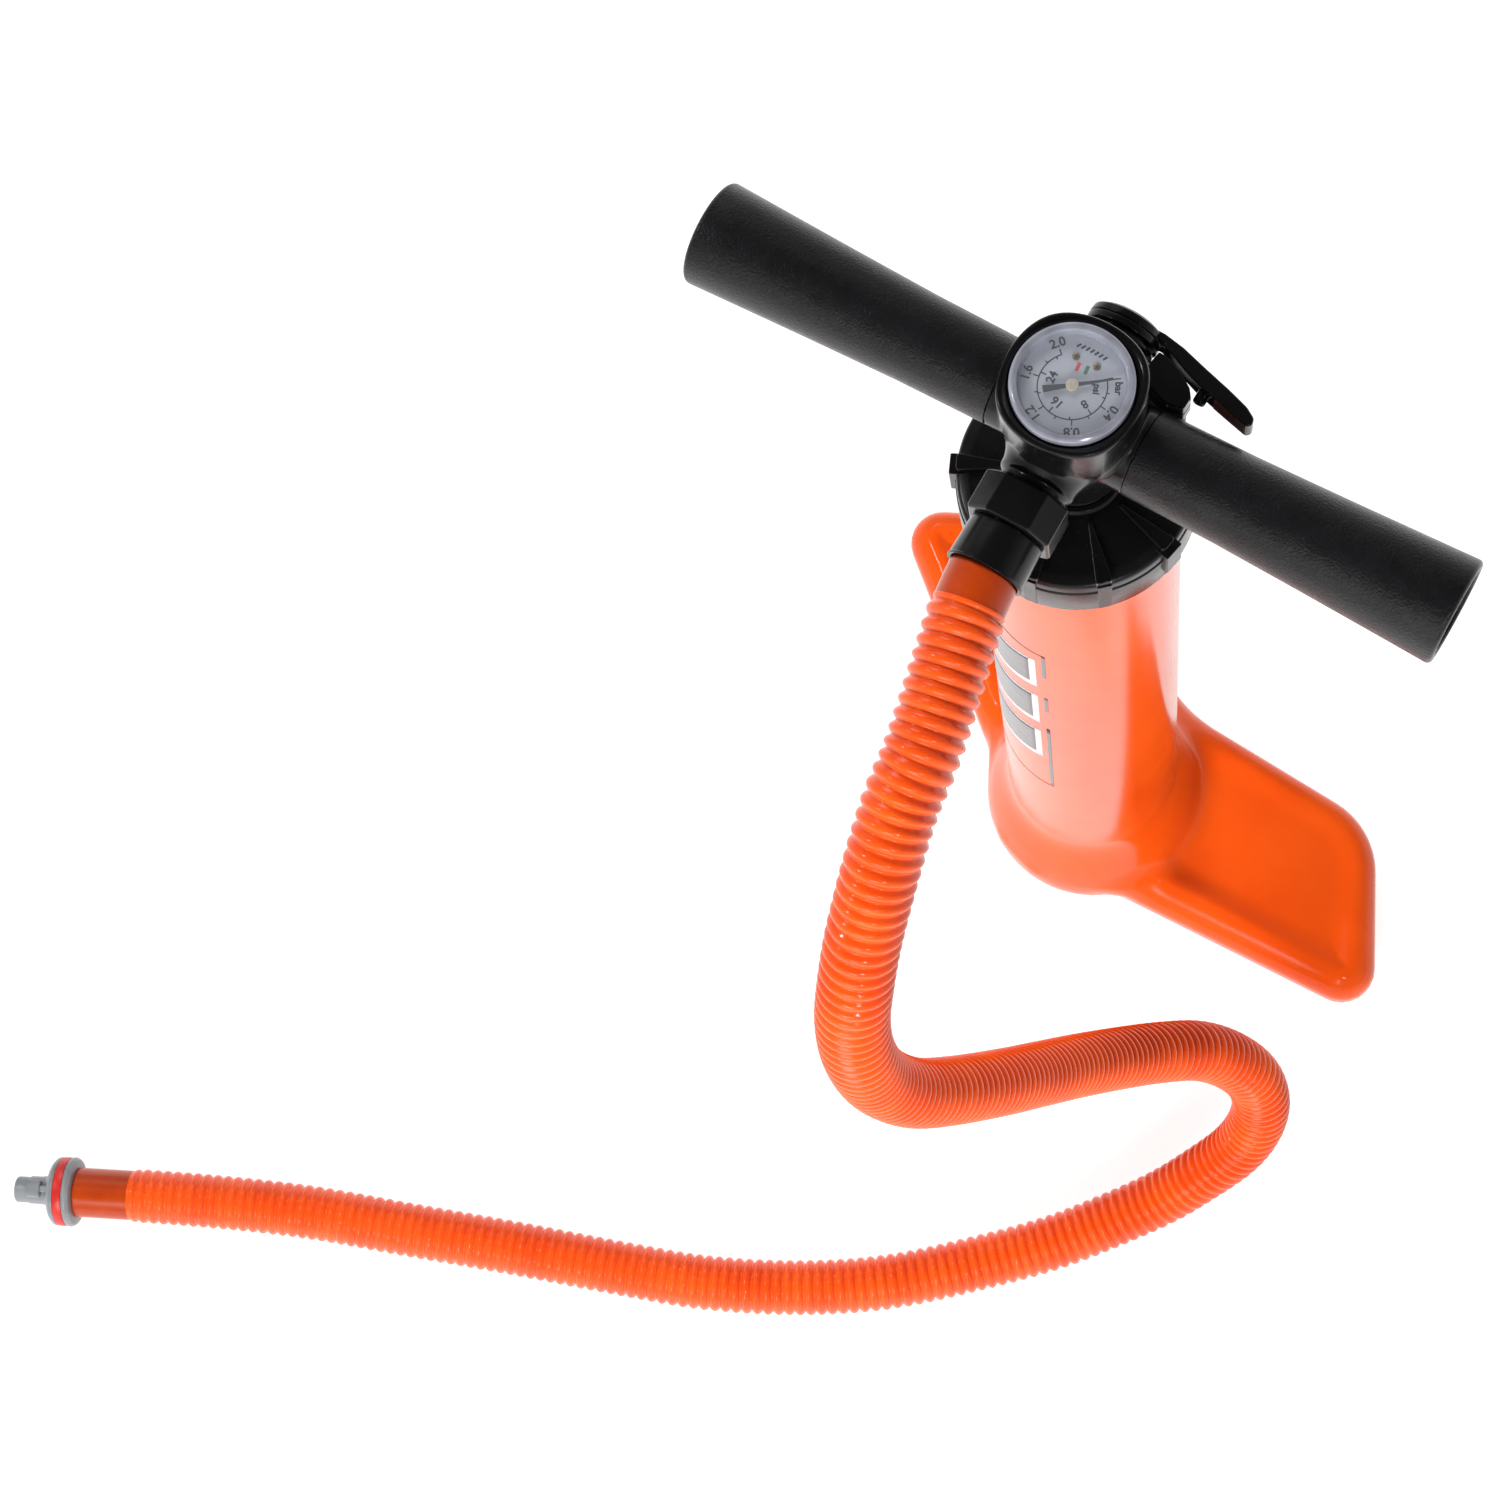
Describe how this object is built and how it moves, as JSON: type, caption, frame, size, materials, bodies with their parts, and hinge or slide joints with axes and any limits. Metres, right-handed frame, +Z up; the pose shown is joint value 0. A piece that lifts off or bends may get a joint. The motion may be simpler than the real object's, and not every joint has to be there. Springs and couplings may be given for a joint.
{
  "type": "double action hand pump",
  "caption": "Upright double action hand pump with a foot-winged barrel, a T handle carrying a pressure gauge, and a corrugated hose ending in a bayonet valve connector.",
  "frame": {"origin": "centre of the barrel's axis on the flat underside of the foot, with the handle fully down", "axes": "+Z up along the barrel; the foot wings spread to -X and +X and sweep back to +Y; the rounded front of the foot faces -Y"},
  "size_m": [0.4066, 0.6237, 0.639],
  "materials": {
    "shell_orange": "glossy blow-moulded polyethylene",
    "hose_orange": "semi-gloss flexible corrugated hose",
    "label": "printed vinyl sticker",
    "cap_black": "satin to glossy moulded nylon",
    "body_black": "smooth moulded plastic",
    "grip_black": "fine spark-eroded texture",
    "inner_grey": "moulded acetal",
    "tube_alu": "drawn and anodised",
    "rubber": "moulded rubber",
    "rubber_red": "moulded silicone",
    "connector_grey": "moulded plastic",
    "brass": "turned",
    "steel": "zinc plated",
    "dial_white": "printed silver-white dial",
    "lens_clear": "clear acrylic",
    "needle_black": "painted"
  },
  "bodies": {
    "barrel": {"barrel_shell": "shell_orange", "barrel_label": "label", "cylinder_tube": "tube_alu", "tube_end_plug": "inner_grey", "end_plug_seal": "rubber", "top_cap": "cap_black", "cap_seal": "rubber"},
    "bush": {"guide_bush": "body_black", "bush_clip": "steel", "rod_seal": "rubber", "valve_connector": "connector_grey", "connector_gasket": "rubber_red", "hose": "hose_orange"},
    "handle": {"handle_body": "body_black", "grip_left": "grip_black", "grip_right": "grip_black", "grip_screws": "steel", "rod_outer_tube": "tube_alu", "rod_inner_tube": "inner_grey", "piston_head": "inner_grey", "piston_seal": "rubber", "upper_bump_stop": "rubber", "lower_bump_stop": "rubber", "gauge_case": "body_black", "gauge_tube": "brass", "gauge_dial": "dial_white", "dial_screws": "brass", "gauge_lens": "lens_clear", "hose_sleeve": "body_black", "nut_gasket": "rubber_red", "valve_block": "body_black", "block_screws": "steel"},
    "needle": {"gauge_needle": "needle_black"},
    "nut": {"union_nut": "body_black"},
    "outlet_valve": {"outlet_disc": "rubber_red"},
    "inlet_valve": {"inlet_disc": "rubber_red"},
    "selector": {"selector_plug": "body_black", "plug_seal": "rubber", "selector_lever": "body_black"}
  },
  "joints": [
    {"name": "handle_swivel", "type": "hinge", "parent": "barrel", "child": "bush", "pos_m": [0, 0, 0.544], "axis": [0, 0, 1], "continuous": true},
    {"name": "pump_stroke", "type": "slide", "parent": "bush", "child": "handle", "axis": [0, 0, 1], "range_m": [0, 0.46], "deforming": ["hose"]},
    {"name": "needle_turn", "type": "hinge", "parent": "handle", "child": "needle", "pos_m": [0, 0, 0.6345], "axis": [0, 0, -1], "range_deg": [0, 259]},
    {"name": "nut_spin", "type": "hinge", "parent": "handle", "child": "nut", "pos_m": [0.01205, -0.03498, 0.602], "axis": [0.3256, -0.9455, 0], "continuous": true},
    {"name": "outlet_disc_lift", "type": "slide", "parent": "handle", "child": "outlet_valve", "axis": [0.3256, -0.9455, 0], "range_m": [0, 0.004]},
    {"name": "inlet_disc_lift", "type": "slide", "parent": "handle", "child": "inlet_valve", "axis": [-0.3256, 0.9455, 0], "range_m": [0, 0.0018]},
    {"name": "selector_turn", "type": "hinge", "parent": "handle", "child": "selector", "pos_m": [-0.00977, 0.02837, 0.602], "axis": [-0.3256, 0.9455, 0], "range_deg": [0, 90]}
  ]
}
